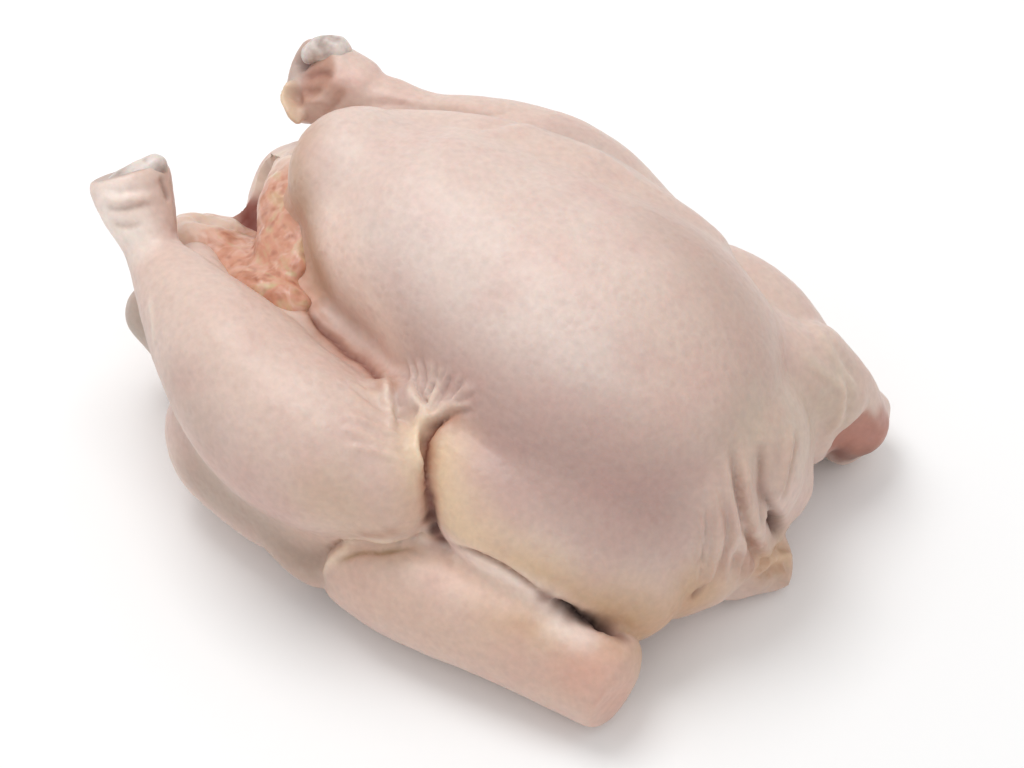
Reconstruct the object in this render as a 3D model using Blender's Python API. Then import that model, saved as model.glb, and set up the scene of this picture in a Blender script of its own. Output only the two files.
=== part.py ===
"""A whole raw turkey, plucked and oven ready, lying on its back.

The bird is one closed body. Its muscles are blended into one skin, the body cavity is hollowed
out of it between the legs, and its back is cut flat where it rests. +X points to the neck end,
+Z up, and the origin is on the table under the middle of the bird. All sizes are in millimetres
until MM turns them into Blender's metres.
"""
import math

import bmesh
import bpy
from mathutils import Matrix, Vector

MM = 0.001

# How the muscles are shaped and blended.
SIDES = 32              # faces round a muscle
RINGS = 48              # faces along a muscle
STEP = 0.02             # share of a course over which its direction is measured
CAP = 0.22              # share of the rings that closes each rounded end
CUT_END = 0.35          # how far the end of a sawn limb bulges, where 1 is a round end
VOXEL = 4.0             # edge of the cells in which the muscles are merged into one skin
BODY_SMOOTHING = 12     # rounds of smoothing over the trunk and breast, whose skin is taut
LEG_SMOOTHING = 6       # over a leg
WING_SMOOTHING = 4      # over a wing, whose outline is the sharpest
SKIN_SMOOTHING = 2      # over the joined bird, so that the creases between its limbs stay
KEPT_FACES = 0.148      # share of the faces left when the skin is thinned to large facets

# Where the bird stands in the frame in which its muscles are laid out.
MIDDLE = (-32.0, 4.0)   # the point of that frame that becomes the origin
TABLE = 2.5             # height at which its back is pressed flat
BLOCK = 800.0           # edge of the block that presses it, larger than the bird

# A course is a list of rings: x, y, z of the middle, half width, half height.
# "Near" is the side towards -Y. The legs and wings of the two sides don't lie alike.
BACK = [(-186, 2, 34, 50, 26), (-160, 3, 45, 66, 40), (-110, 3, 58, 84, 58), (-40, 5, 64, 98, 64),
        (40, 8, 66, 104, 66), (88, 8, 60, 94, 60), (116, 8, 48, 76, 48)]
BREAST = [(-113, 13, 152, 39, 34), (-80, 12, 139, 59, 53), (-40, 13, 134, 69, 60),
          (5, 13, 122, 82, 72), (50, 13, 108, 92, 80), (88, 14, 92, 88, 72),
          (110, 15, 78, 68, 58)]
BELLY_SKIN = [(-120, 12, 128, 36, 26), (-108, 6, 104, 59, 44), (-90, 6, 84, 70, 50)]
VENT_LIP = [(-148, -70, 106, 16, 15), (-172, -54, 100, 15, 13), (-188, -34, 85, 16, 13),
            (-194, -10, 68, 17, 14), (-194, 10, 61, 17, 14), (-198, 29, 73, 15, 13),
            (-195, 36, 91, 14, 13), (-177, 35, 107, 16, 15), (-150, 28, 119, 20, 20)]
HIP = [(-156, -60, 50, 34, 34), (-180, -66, 58, 24, 26), (-192, -70, 62, 17, 20)]
NEAR_GROIN = [(-168, -56, 72, 20, 28), (-130, -62, 80, 26, 32), (-90, -68, 88, 28, 32)]
FAR_GROIN = [(-164, 46, 76, 22, 32), (-130, 52, 90, 27, 38), (-90, 60, 98, 28, 36)]
NEAR_FLANK = [(-12, -66, 90, 28, 32), (34, -70, 88, 28, 34)]
FAR_FLANK = [(-12, 78, 96, 28, 32), (38, 82, 92, 28, 34)]
NEAR_SHOULDER = [(38, -61, 98, 28, 34), (74, -60, 87, 35, 41), (104, -45, 70, 39, 42),
                 (134, -14, 44, 29, 32)]
FAR_SHOULDER = [(92, 64, 78, 40, 42), (118, 60, 62, 33, 38), (136, 50, 43, 24, 28)]
FAR_ARM_SKIN = [(84, 74, 100, 30, 28), (114, 84, 88, 28, 27), (136, 102, 64, 22, 24)]
FAR_BREAST = [(-108, 42, 143, 26, 28), (-64, 56, 143, 32, 36), (-10, 70, 133, 38, 42),
              (46, 80, 112, 36, 42)]
KNEE_WEB = [(-20, -84, 112, 14, 16), (2, -74, 114, 16, 16), (26, -64, 116, 18, 18)]
KNEE_SEAM = [(14, -84, 112, 12, 12), (22, -92, 100, 14, 14), (28, -96, 84, 14, 14),
             (30, -96, 66, 14, 14)]
LEG_SEAM = [(-112, -50, 108, 14, 14), (-74, -60, 98, 14, 15), (-44, -66, 100, 13, 14),
            (-22, -74, 108, 12, 12)]
TAIL = [(-180, 4, 34, 46, 24), (-202, 6, 36, 34, 20), (-218, 7, 42, 22, 15),
        (-228, 7, 48, 15, 11)]
NECK_SKIN = [(120, 8, 26, 42, 24), (145, 18, 18, 30, 16), (158, 27, 14, 22, 11)]

NEAR_DRUMSTICK = [(4, -104, 92, 31, 34), (-28, -110, 93, 41, 43), (-65, -109, 95, 43, 46),
                  (-103, -102, 107, 38, 40), (-145, -90, 115, 26, 28), (-176, -79, 121, 15, 16)]
NEAR_HOCK = [(-182, -75, 128, 16, 16), (-195, -69, 139, 21, 18), (-206, -63, 152, 23, 18)]
NEAR_THIGH = [(-100, -98, 52, 44, 46), (-62, -103, 52, 42, 48), (-22, -103, 72, 35, 40),
              (-4, -100, 86, 28, 32)]
THIGH_FLAP = [(-60, -130, 44, 12, 14), (-34, -136, 36, 11, 12), (-17, -136, 33, 9, 12)]
FAR_DRUMSTICK = [(16, 94, 100, 38, 40), (-32, 92, 114, 44, 48), (-80, 82, 124, 38, 41),
                 (-118, 77, 130, 24, 26), (-143, 75, 138, 17, 17)]
FAR_HOCK = [(-156, 74, 141, 18, 18), (-174, 68, 142, 23, 22), (-192, 61, 141, 25, 24)]
FAR_THIGH = [(-96, 94, 48, 46, 46), (-60, 100, 54, 42, 48), (-20, 100, 70, 38, 46),
             (0, 94, 82, 34, 42)]

NEAR_FOREARM = [(-9, -125, 37, 21, 24), (26, -118, 37, 28, 31), (72, -109, 36, 28, 31),
                (112, -102, 32, 27, 29), (144, -98, 28, 25, 26)]
FAR_FOREARM = [(-2, 138, 30, 20, 22), (30, 136, 33, 26, 28), (75, 132, 32, 27, 29),
               (118, 128, 30, 25, 26), (148, 124, 27, 23, 23)]
NEAR_UPPER_ARM = [(22, -74, 104, 24, 24), (46, -79, 92, 30, 34), (70, -77, 80, 33, 39),
                  (96, -70, 63, 33, 39), (120, -54, 50, 30, 36)]
FAR_UPPER_ARM = [(46, 102, 84, 32, 38), (72, 107, 76, 35, 42), (100, 105, 62, 34, 42),
                 (122, 92, 48, 28, 36)]
FAR_WING_SKIN = [(118, 98, 80, 24, 30), (136, 112, 56, 21, 24), (146, 120, 36, 20, 18)]

# The hollow for the stuffing, from outside the vent to its blind end under the breast.
CAVITY = [(-238, 2, 122, 32, 34), (-200, 2, 106, 28, 29), (-165, 2, 97, 29, 29),
          (-120, 4, 83, 40, 32), (-60, 6, 74, 54, 33), (10, 8, 70, 56, 32), (60, 8, 68, 46, 26)]


def ring_at(course, share):
    """The ring at a share of the way along a course, on a smooth curve through its rings."""
    last = len(course) - 1
    place = min(max(share, 0.0), 1.0) * last
    i = min(int(place), last - 1)
    t = place - i
    a, b, c, d = (Vector(course[min(max(i + k, 0), last)]) for k in (-1, 0, 1, 2))
    square = 2 * a - 5 * b + 4 * c - d
    cube = 3 * b - a - 3 * c + d
    return 0.5 * (2 * b + (c - a) * t + square * t ** 2 + cube * t ** 3)


def muscle(bm, course, up=(0, 0, 1), bulge=1.0):
    """A rounded mass along a course: a sphere whose rings are moved onto the course's own."""
    made = bmesh.ops.create_uvsphere(bm, u_segments=SIDES, v_segments=RINGS, radius=1.0)
    for v in made["verts"]:
        way = 1 - math.acos(max(-1.0, min(1.0, v.co.z))) / math.pi
        turn = math.atan2(v.co.y, v.co.x)
        past_end = max(CAP - way, way - (1 - CAP), 0.0) / CAP * math.pi / 2
        push = math.copysign(math.sin(past_end), way - 0.5)
        share = (way - CAP) / (1 - 2 * CAP)
        ring = ring_at(course, share)
        share = min(max(share, 0.0), 1.0)
        tangent = (ring_at(course, share + STEP) - ring_at(course, share - STEP)).to_3d().normalized()
        across = Vector(up).cross(tangent).normalized()
        top = tangent.cross(across)
        width, height = ring[3], ring[4]
        centre = ring.to_3d() + tangent * push * min(width, height) * bulge
        rim = across * width * math.cos(turn) + top * height * math.sin(turn)
        v.co = (centre + rim * math.cos(past_end)) * MM


def new_object(name, bm):
    """An object in the scene that holds what the bmesh holds."""
    mesh = bpy.data.meshes.new(name)
    bm.to_mesh(mesh)
    bm.free()
    obj = bpy.data.objects.new(name, mesh)
    bpy.context.scene.collection.objects.link(obj)
    return obj


def blend(obj, smoothing):
    """Merge what an object holds into one skin, and smooth it."""
    skin = obj.modifiers.new("skin", "REMESH")
    skin.mode = "VOXEL"
    skin.voxel_size = VOXEL * MM
    smooth = obj.modifiers.new("smooth", "SMOOTH")
    smooth.factor = 0.5
    smooth.iterations = smoothing


def take_mesh(bm, obj):
    """Add an object's finished mesh to a bmesh, and remove the object."""
    bpy.context.view_layer.update()
    depsgraph = bpy.context.evaluated_depsgraph_get()
    mesh = bpy.data.meshes.new_from_object(obj.evaluated_get(depsgraph))
    bm.from_mesh(mesh)
    bpy.data.objects.remove(obj)
    bpy.data.meshes.remove(mesh)


def limb(name, rounded, sawn, smoothing):
    """One group of muscles under one skin. Those of the list sawn have blunt ends."""
    bm = bmesh.new()
    for course in rounded:
        muscle(bm, course)
    for course in sawn:
        muscle(bm, course, bulge=CUT_END)
    obj = new_object(name, bm)
    blend(obj, smoothing)
    return obj


def body():
    """Trunk, breast, tail and neck skin, with the lip of skin round the vent."""
    bm = bmesh.new()
    for course in (BACK, BREAST, BELLY_SKIN, NEAR_GROIN, FAR_GROIN, NEAR_FLANK, FAR_FLANK,
                   HIP, TAIL, NECK_SKIN, NEAR_SHOULDER, FAR_SHOULDER, FAR_ARM_SKIN, FAR_BREAST,
                   KNEE_WEB, KNEE_SEAM, LEG_SEAM):
        muscle(bm, course)
    muscle(bm, VENT_LIP, up=(1, 0, 0))
    obj = new_object("body", bm)
    blend(obj, BODY_SMOOTHING)
    return obj


def cutter(name, bm):
    """A guide body that only cuts, and isn't part of the bird."""
    obj = new_object(name, bm)
    obj.hide_render = True
    obj.display_type = "WIRE"
    return obj


def cavity_cutter():
    """The hollow for the stuffing, as a body to cut out."""
    bm = bmesh.new()
    muscle(bm, CAVITY)
    return cutter("cavity_cutter", bm)


def table_cutter():
    """A block up to the level at which the back is pressed flat."""
    bm = bmesh.new()
    bmesh.ops.create_cube(bm, size=BLOCK * MM)
    bmesh.ops.translate(bm, verts=bm.verts, vec=(0, 0, (TABLE - BLOCK / 2) * MM))
    return cutter("table_cutter", bm)


def cut(obj, tool):
    """Take the tool's volume away from the object."""
    mod = obj.modifiers.new(tool.name, "BOOLEAN")
    mod.operation = "DIFFERENCE"
    mod.object = tool


def skin_material():
    """Raw skin: pale pink and moist."""
    mat = bpy.data.materials.new("raw_skin")
    mat.use_nodes = True
    shader = mat.node_tree.nodes["Principled BSDF"]
    shader.inputs["Base Color"].default_value = (0.66, 0.46, 0.38, 1.0)
    shader.inputs["Roughness"].default_value = 0.42
    shader.inputs["Metallic"].default_value = 0.0
    return mat


def turkey():
    """Join the limbs to the body under one skin, hollow it and press its back flat."""
    limbs = [
        body(),
        limb("near_leg", (NEAR_DRUMSTICK, NEAR_THIGH, THIGH_FLAP), (NEAR_HOCK,), LEG_SMOOTHING),
        limb("far_leg", (FAR_DRUMSTICK, FAR_THIGH), (FAR_HOCK,), LEG_SMOOTHING),
        limb("near_upper_arm", (NEAR_UPPER_ARM,), (), WING_SMOOTHING),
        limb("far_upper_arm", (FAR_UPPER_ARM,), (), WING_SMOOTHING),
        limb("near_wing", (), (NEAR_FOREARM,), WING_SMOOTHING),
        limb("far_wing", (FAR_WING_SKIN,), (FAR_FOREARM,), WING_SMOOTHING),
    ]
    bm = bmesh.new()
    for obj in limbs:
        take_mesh(bm, obj)
    bird = new_object("turkey", bm)
    blend(bird, SKIN_SMOOTHING)
    cut(bird, cavity_cutter())
    thin = bird.modifiers.new("facets", "DECIMATE")
    thin.ratio = KEPT_FACES
    cut(bird, table_cutter())
    bird.data.materials.append(skin_material())
    return bird


def main():
    for obj in list(bpy.data.objects):
        bpy.data.objects.remove(obj)
    bird = turkey()
    bird.data.shade_smooth()
    for obj in bpy.data.objects:
        obj.data.transform(Matrix.Translation((-MIDDLE[0] * MM, -MIDDLE[1] * MM, -TABLE * MM)))


main()
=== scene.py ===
# %% [markdown]
# # A whole raw turkey, plucked and oven ready
#
# The bird lies on its back with its breast up, its legs folded back along its sides and its wings
# cut at the second joint. Raw poultry is one closed skin over muscles, so the lesson builds it in
# that order: first the muscles, then one skin over them, then the folds and pores of the skin, and
# last its colours, its moist surface and the cut ends of the limbs.
#
# +X is the neck end, -Y the near side, +Z up, and the origin is on the table under the bird.

# %% [markdown]
# ## The frame to build on
#
# The plain solid of the bird is loaded first. It fixes where the bird is and how large.

import math

import bmesh
import bpy
import numpy as np
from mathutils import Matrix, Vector, noise
from mathutils.bvhtree import BVHTree


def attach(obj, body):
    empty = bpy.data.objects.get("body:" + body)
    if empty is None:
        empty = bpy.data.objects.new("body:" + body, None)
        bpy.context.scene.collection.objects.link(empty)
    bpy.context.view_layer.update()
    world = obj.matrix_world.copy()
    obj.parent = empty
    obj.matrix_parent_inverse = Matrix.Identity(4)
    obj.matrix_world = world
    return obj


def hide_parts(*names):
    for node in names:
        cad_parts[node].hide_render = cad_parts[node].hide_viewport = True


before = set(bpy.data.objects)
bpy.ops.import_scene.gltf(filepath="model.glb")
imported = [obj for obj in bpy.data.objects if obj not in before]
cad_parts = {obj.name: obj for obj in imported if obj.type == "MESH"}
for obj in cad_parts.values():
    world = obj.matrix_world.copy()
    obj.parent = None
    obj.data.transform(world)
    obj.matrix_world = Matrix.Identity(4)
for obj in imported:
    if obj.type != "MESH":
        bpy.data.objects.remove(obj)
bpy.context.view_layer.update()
MM = 0.001

# %% [markdown]
# ## The muscles as courses
#
# A muscle of a bird is a spindle: round, thick in the middle and thin where it turns to sinew.
# Metaballs could stand for such masses, but their outline is hard to steer. Here each muscle is
# a course of rings, written as x, y and z of the middle, half width and half height in
# millimetres. The courses are laid out in the maker's own frame. STAND is the place in it that
# becomes the origin, on the table under the middle of the bird.

# %% Courses of the trunk
STAND = Vector((-32.0, 4.0, 2.5))

BACK = [(-186, 2, 34, 50, 26), (-160, 3, 45, 66, 40), (-110, 3, 58, 84, 58), (-40, 5, 64, 98, 64),
        (40, 8, 66, 104, 66), (88, 8, 60, 94, 60), (116, 8, 48, 76, 48)]
BREAST = [(-113, 13, 152, 39, 34), (-80, 12, 139, 59, 53), (-40, 13, 134, 69, 60),
          (5, 13, 122, 82, 72), (50, 13, 108, 92, 80), (88, 14, 92, 88, 72), (110, 15, 78, 68, 58)]
BELLY_SKIN = [(-120, 12, 128, 36, 26), (-108, 6, 104, 59, 44), (-90, 6, 84, 70, 50)]
VENT_LIP = [(-148, -70, 106, 16, 15), (-172, -54, 100, 15, 13), (-188, -34, 85, 16, 13),
            (-194, -10, 68, 17, 14), (-194, 10, 61, 17, 14), (-198, 29, 73, 15, 13),
            (-195, 36, 91, 14, 13), (-177, 35, 107, 16, 15), (-150, 28, 119, 20, 20)]
HIP = [(-156, -60, 50, 34, 34), (-180, -66, 58, 24, 26), (-192, -70, 62, 17, 20)]
NEAR_GROIN = [(-168, -56, 72, 20, 28), (-130, -62, 80, 26, 32), (-90, -68, 88, 28, 32)]
FAR_GROIN = [(-164, 46, 76, 22, 32), (-130, 52, 90, 27, 38), (-90, 60, 98, 28, 36)]
NEAR_FLANK = [(-12, -66, 90, 28, 32), (34, -70, 88, 28, 34)]
FAR_FLANK = [(-12, 78, 96, 28, 32), (38, 82, 92, 28, 34)]
NEAR_SHOULDER = [(38, -61, 98, 28, 34), (74, -60, 87, 35, 41), (104, -45, 70, 39, 42),
                 (134, -14, 44, 29, 32)]
FAR_SHOULDER = [(92, 64, 78, 40, 42), (118, 60, 62, 33, 38), (136, 50, 43, 24, 28)]
FAR_ARM_SKIN = [(84, 74, 100, 30, 28), (114, 84, 88, 28, 27), (136, 102, 64, 22, 24)]
FAR_BREAST = [(-108, 42, 143, 26, 28), (-64, 56, 143, 32, 36), (-10, 70, 133, 38, 42),
              (46, 80, 112, 36, 42)]
KNEE_WEB = [(-20, -84, 112, 14, 16), (2, -74, 114, 16, 16), (26, -64, 116, 18, 18)]
KNEE_SEAM = [(14, -84, 112, 12, 12), (22, -92, 100, 14, 14), (28, -96, 84, 14, 14),
             (30, -96, 66, 14, 14)]
LEG_SEAM = [(-112, -50, 108, 14, 14), (-74, -60, 98, 14, 15), (-44, -66, 100, 13, 14),
            (-22, -74, 108, 12, 12)]
TAIL = [(-180, 4, 34, 46, 24), (-202, 6, 36, 34, 20), (-218, 7, 42, 22, 15), (-228, 7, 48, 15, 11)]
NECK_SKIN = [(120, 8, 26, 42, 24), (145, 18, 18, 30, 16), (158, 27, 14, 22, 11)]
TRUNK = (BACK, BREAST, BELLY_SKIN, NEAR_GROIN, FAR_GROIN, NEAR_FLANK, FAR_FLANK, HIP, TAIL,
         NECK_SKIN, NEAR_SHOULDER, FAR_SHOULDER, FAR_ARM_SKIN, FAR_BREAST, KNEE_WEB, KNEE_SEAM,
         LEG_SEAM)
print("trunk:", len(TRUNK) + 1, "courses")

# %% [markdown]
# ## The legs
#
# A leg is a drumstick and a thigh, folded on each other. The drumstick runs back from the knee to
# the hock, where the shank was cut off. The legs of the two sides don't lie alike, so each has its
# own courses and neither is mirrored. A sinew stands out at the hock, which gets a course too.

# %% Courses of the legs
NEAR_DRUMSTICK = [(4, -104, 92, 31, 34), (-28, -110, 93, 41, 43), (-65, -109, 95, 43, 46),
                  (-103, -102, 107, 38, 40), (-145, -90, 115, 26, 28), (-176, -79, 121, 15, 16)]
NEAR_HOCK = [(-182, -75, 128, 16, 16), (-195, -69, 139, 21, 18), (-206, -63, 152, 23, 18)]
NEAR_THIGH = [(-100, -98, 52, 44, 46), (-62, -103, 52, 42, 48), (-22, -103, 72, 35, 40),
              (-4, -100, 86, 28, 32)]
THIGH_FLAP = [(-60, -130, 44, 12, 14), (-34, -136, 36, 11, 12), (-17, -136, 33, 9, 12)]
FAR_DRUMSTICK = [(16, 94, 100, 38, 40), (-32, 92, 114, 44, 48), (-80, 82, 124, 38, 41),
                 (-118, 77, 130, 24, 26), (-143, 75, 138, 17, 17)]
FAR_HOCK = [(-156, 74, 141, 18, 18), (-174, 68, 142, 23, 22), (-192, 61, 141, 25, 24)]
FAR_THIGH = [(-96, 94, 48, 46, 46), (-60, 100, 54, 42, 48), (-20, 100, 70, 38, 46),
             (0, 94, 82, 34, 42)]
print("legs: 7 courses")

# %% [markdown]
# ## The wings
#
# Only the upper arm and the stump of the forearm are left of a wing. The forearm lies flat on the
# table beside the bird, and its cut end is blunt. Loose skin fills the angle between the two.

# %% Courses of the wings
NEAR_FOREARM = [(-9, -125, 37, 21, 24), (26, -118, 37, 28, 31), (72, -109, 36, 28, 31),
                (112, -102, 32, 27, 29), (144, -98, 28, 25, 26)]
FAR_FOREARM = [(-2, 138, 30, 20, 22), (30, 136, 33, 26, 28), (75, 132, 32, 27, 29),
               (118, 128, 30, 25, 26), (148, 124, 27, 23, 23)]
NEAR_UPPER_ARM = [(22, -74, 104, 24, 24), (46, -79, 92, 30, 34), (70, -77, 80, 33, 39),
                  (96, -70, 63, 33, 39), (120, -54, 50, 30, 36)]
FAR_UPPER_ARM = [(46, 102, 84, 32, 38), (72, 107, 76, 35, 42), (100, 105, 62, 34, 42),
                 (122, 92, 48, 28, 36)]
FAR_WING_SKIN = [(118, 98, 80, 24, 30), (136, 112, 56, 21, 24), (146, 120, 36, 20, 18)]
print("wings: 5 courses")

# %% [markdown]
# ## A muscle from a sphere
#
# A UV sphere already has rings and two closed poles. Each of its rings is moved onto the course,
# and its rings near the poles close the ends: round where the muscle goes under the skin, blunt
# where the limb was sawn through.

# %% Rings and muscles
SIDES = 48
RINGS = 72
# The share of the sphere's rings that closes each end, and how far to both sides the way is read.
CAP = 0.22
NUDGE = 0.02


def ring_at(course, share):
    """The ring at a share of the way along a course, on a smooth curve through its rings."""
    last = len(course) - 1
    place = min(max(share, 0.0), 1.0) * last
    i = min(int(place), last - 1)
    t = place - i
    a, b, c, d = (Vector(course[min(max(i + k, 0), last)]) for k in (-1, 0, 1, 2))
    square = 2 * a - 5 * b + 4 * c - d
    cube = 3 * b - a - 3 * c + d
    return 0.5 * (2 * b + (c - a) * t + square * t ** 2 + cube * t ** 3)


def ring_frame(course, level, up, bulge):
    """The middle of one ring of the sphere on the course, and its two half axes."""
    way = 1 - math.acos(max(-1.0, min(1.0, level))) / math.pi
    past_end = max(CAP - way, way - (1 - CAP), 0.0) / CAP * math.pi / 2
    push = math.copysign(math.sin(past_end), way - 0.5)
    share = (way - CAP) / (1 - 2 * CAP)
    ring = ring_at(course, share)
    share = min(max(share, 0.0), 1.0)
    tangent = (ring_at(course, share + NUDGE) - ring_at(course, share - NUDGE)).to_3d()
    tangent.normalize()
    across = Vector(up).cross(tangent).normalized()
    top = tangent.cross(across)
    centre = ring.to_3d() - STAND + tangent * push * min(ring[3], ring[4]) * bulge
    narrowing = math.cos(past_end)
    return centre, across * ring[3] * narrowing, top * ring[4] * narrowing


def muscle(bm, course, up=(0, 0, 1), bulge=1.0):
    """A rounded mass along a course. A bulge below 1 makes its ends blunt."""
    sphere = bmesh.new()
    bmesh.ops.create_uvsphere(sphere, u_segments=SIDES, v_segments=RINGS, radius=1.0)
    frames = {}
    for v in sphere.verts:
        level = round(v.co.z, 5)
        if level not in frames:
            frames[level] = ring_frame(course, level, up, bulge)
        centre, across, top = frames[level]
        turn = math.atan2(v.co.y, v.co.x)
        v.co = (centre + across * math.cos(turn) + top * math.sin(turn)) * MM
    mesh = bpy.data.meshes.new("muscle")
    sphere.to_mesh(mesh)
    sphere.free()
    bm.from_mesh(mesh)
    bpy.data.meshes.remove(mesh)

# %% [markdown]
# ## One skin over the muscles
#
# The muscles of one limb are merged by a voxel remesh and smoothed well, as taut skin is. Then
# the limbs are merged with the trunk by a second remesh that is smoothed only a little, so that
# the creases between leg, wing and breast stay deep. Sculpting with a Boolean union would give
# the same volumes but leave long thin faces, which can't be sculpted afterwards.

# %% Remesh and smooth
# Rounds of smoothing are given for a cell of 4 mm. A finer mesh needs more of them.
CELL = 1.9
FINER = (4.0 / CELL) ** 2
SAWN = 0.35


def new_object(name, bm):
    """An object in the scene that holds what the bmesh holds."""
    mesh = bpy.data.meshes.new(name)
    bm.to_mesh(mesh)
    bm.free()
    obj = bpy.data.objects.new(name, mesh)
    bpy.context.scene.collection.objects.link(obj)
    return obj


def applied(obj):
    """Make the modifiers of an object part of its mesh."""
    bpy.context.view_layer.update()
    graph = bpy.context.evaluated_depsgraph_get()
    mesh = bpy.data.meshes.new_from_object(obj.evaluated_get(graph))
    old = obj.data
    obj.modifiers.clear()
    obj.data = mesh
    bpy.data.meshes.remove(old)
    return obj


def blend(obj, smoothing, cell=CELL):
    """Merge what an object holds into one skin, and smooth it."""
    skin = obj.modifiers.new("skin", "REMESH")
    skin.mode = "VOXEL"
    skin.voxel_size = cell * MM
    smooth = obj.modifiers.new("smooth", "SMOOTH")
    smooth.factor = 0.5
    smooth.iterations = round(smoothing * FINER)
    return applied(obj)


def group(name, rounded, sawn, smoothing):
    """One group of muscles under one skin. Those of the list sawn have blunt ends."""
    bm = bmesh.new()
    for course in rounded:
        muscle(bm, course)
    for course in sawn:
        muscle(bm, course, bulge=SAWN)
    if name == "trunk":
        muscle(bm, VENT_LIP, up=(1, 0, 0))
    return blend(new_object(name, bm), smoothing)


GROUPS = [
    group("trunk", TRUNK, (), 12),
    group("near_leg", (NEAR_DRUMSTICK, NEAR_THIGH, THIGH_FLAP), (NEAR_HOCK,), 6),
    group("far_leg", (FAR_DRUMSTICK, FAR_THIGH), (FAR_HOCK,), 6),
    group("near_upper_arm", (NEAR_UPPER_ARM,), (), 4),
    group("far_upper_arm", (FAR_UPPER_ARM,), (), 4),
    group("near_wing", (), (NEAR_FOREARM,), 4),
    group("far_wing", (FAR_WING_SKIN,), (FAR_FOREARM,), 4),
]
print("groups:", {g.name: len(g.data.polygons) for g in GROUPS})

# %% [markdown]
# ## Leg, wing and trunk become one
#
# Up to here each limb is a mesh of its own. They overlap, and one more remesh over all of them
# keeps only the outside. It is smoothed for less than two rounds, so the valleys stay narrow.

# %% Join the groups
bm = bmesh.new()
for part in GROUPS:
    bm.from_mesh(part.data)
    bpy.data.objects.remove(part)
turkey = blend(new_object("turkey_skin", bm), 1.6)
print("joined skin:", len(turkey.data.polygons), "faces")

# %% [markdown]
# ## The hollow for the stuffing
#
# The bird is drawn, so a hollow runs from the vent between the legs to under the breast. It is
# one more course, taken away with a Boolean.

# %% Hollow
CAVITY = [(-238, 2, 122, 32, 34), (-200, 2, 106, 28, 29), (-165, 2, 97, 29, 29),
          (-120, 4, 83, 40, 32), (-60, 6, 74, 54, 33), (10, 8, 70, 56, 32), (60, 8, 68, 46, 26)]
bm = bmesh.new()
muscle(bm, CAVITY)
hollow = new_object("hollow", bm)
cut = turkey.modifiers.new("hollow", "BOOLEAN")
cut.operation = "DIFFERENCE"
cut.solver = "MANIFOLD"
cut.object = hollow
applied(turkey)
bpy.data.objects.remove(hollow)
print("hollowed:", len(turkey.data.polygons), "faces")

# %% [markdown]
# ## Working on the skin with a finger
#
# Folds and creases could be sculpted by hand with Blender's brushes. A script can do the same:
# a stroke is a short list of places on the skin, joined by a smooth line and pulled onto the
# surface. Near that line each vertex is moved along the surface normal, most in the middle and
# not at all beyond the reach. The distance to the line also says where to put colour, so every
# stroke may leave a tint in the paint of the skin.

# %% The skin as arrays
def table(items, what, width=3, kind=float):
    """What each vertex or edge holds, as one row of an array."""
    values = np.empty(len(items) * width, dtype=kind)
    items.foreach_get(what, values)
    return values.reshape(-1, width)


mesh = turkey.data
COUNT = len(mesh.vertices)
co = table(mesh.vertices, "co")
facing = table(mesh.vertex_normals, "vector")
rng = np.random.default_rng(7)
print("vertices to work on:", COUNT)

# %% [markdown]
# ## Cut ends of the limbs
#
# A saw or a knife leaves a flat face. The skin beyond a plane is pressed onto that plane, and
# then it is evened out a little with its neighbours, because cut skin curls round the edge.

# %% Cut ends of the limbs
EDGES = table(mesh.edges, "vertices", 2, np.int32)
# How soft the face's border is, how deep it is taken under the plane and over it, all in mm.
BORDER = 4
UNDER = 5
OVER = 30
LEVEL_FROM = 1.5


def smooth_step(x):
    """From 0 to 1 as x goes from 0 to 1, level at both ends."""
    x = np.clip(x, 0, 1)
    return x * x * (3 - 2 * x)


def even_out(values, spot, rounds):
    """Let the values of some vertices drift halfway to their neighbours', a few times."""
    inside = np.zeros(COUNT, dtype=bool)
    inside[spot] = True
    pairs = EDGES[inside[EDGES].all(axis=1)]
    pairs = np.vstack([pairs, pairs[:, ::-1]])
    count = np.bincount(pairs[:, 0], minlength=COUNT)
    held = np.where(count > 0)[0]
    for _ in range(rounds):
        for axis in range(3):
            total = np.bincount(pairs[:, 0], weights=values[pairs[:, 1], axis], minlength=COUNT)
            values[held, axis] = (values[held, axis] + total[held] / count[held]) / 2


def cut_flat(centre, normal, radius):
    """Press the skin flat beyond a plane near a place.

    Returns the vertices around the cut, and how much each belongs to its face."""
    centre = np.array((Vector(centre) - STAND) * MM)
    normal = np.array(Vector(normal).normalized())
    past = (co - centre) @ normal
    beside = np.linalg.norm(co - centre - past[:, None] * normal, axis=1)
    around = (beside < (radius + BORDER) * MM) & (past > -UNDER * MM) & (past < OVER * MM)
    spot = np.where(around)[0]
    within = smooth_step((radius * MM - beside[spot]) / (BORDER * MM))
    share = smooth_step(past[spot] / (LEVEL_FROM * MM)) * within
    co[spot] -= normal * (np.maximum(past[spot], 0) * within)[:, None]
    even_out(co, spot, 3)
    print("cut flat:", len(spot), "vertices")
    return spot, share


FAR_HOCK_FACE = cut_flat((-183, 58, 152), (-0.3, -0.6, 0.74), 30)
NEAR_HOCK_FACE = cut_flat((-205, -62, 155), (-0.55, 0.25, 0.79), 30)
FAR_WING_FACE = cut_flat((158, 111, 40), (0.78, -0.62, 0.05), 25)
NEAR_WING_FACE = cut_flat((152, -100, 30), (0.95, -0.2, -0.1), 36)
mesh.vertices.foreach_set("co", co.ravel())
mesh.update()
facing = table(mesh.vertex_normals, "vector")
surface = BVHTree.FromPolygons(co.tolist(), [tuple(f.vertices) for f in mesh.polygons])

# %% [markdown]
# ## A line on the skin
#
# A place that is only roughly right will do for a stroke, because the line is pulled onto the
# nearest skin. A search tree of the faces finds that place, and the outward direction there.
# Colours are written as the hex codes of paint charts and turned to linear light by one function.

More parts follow.
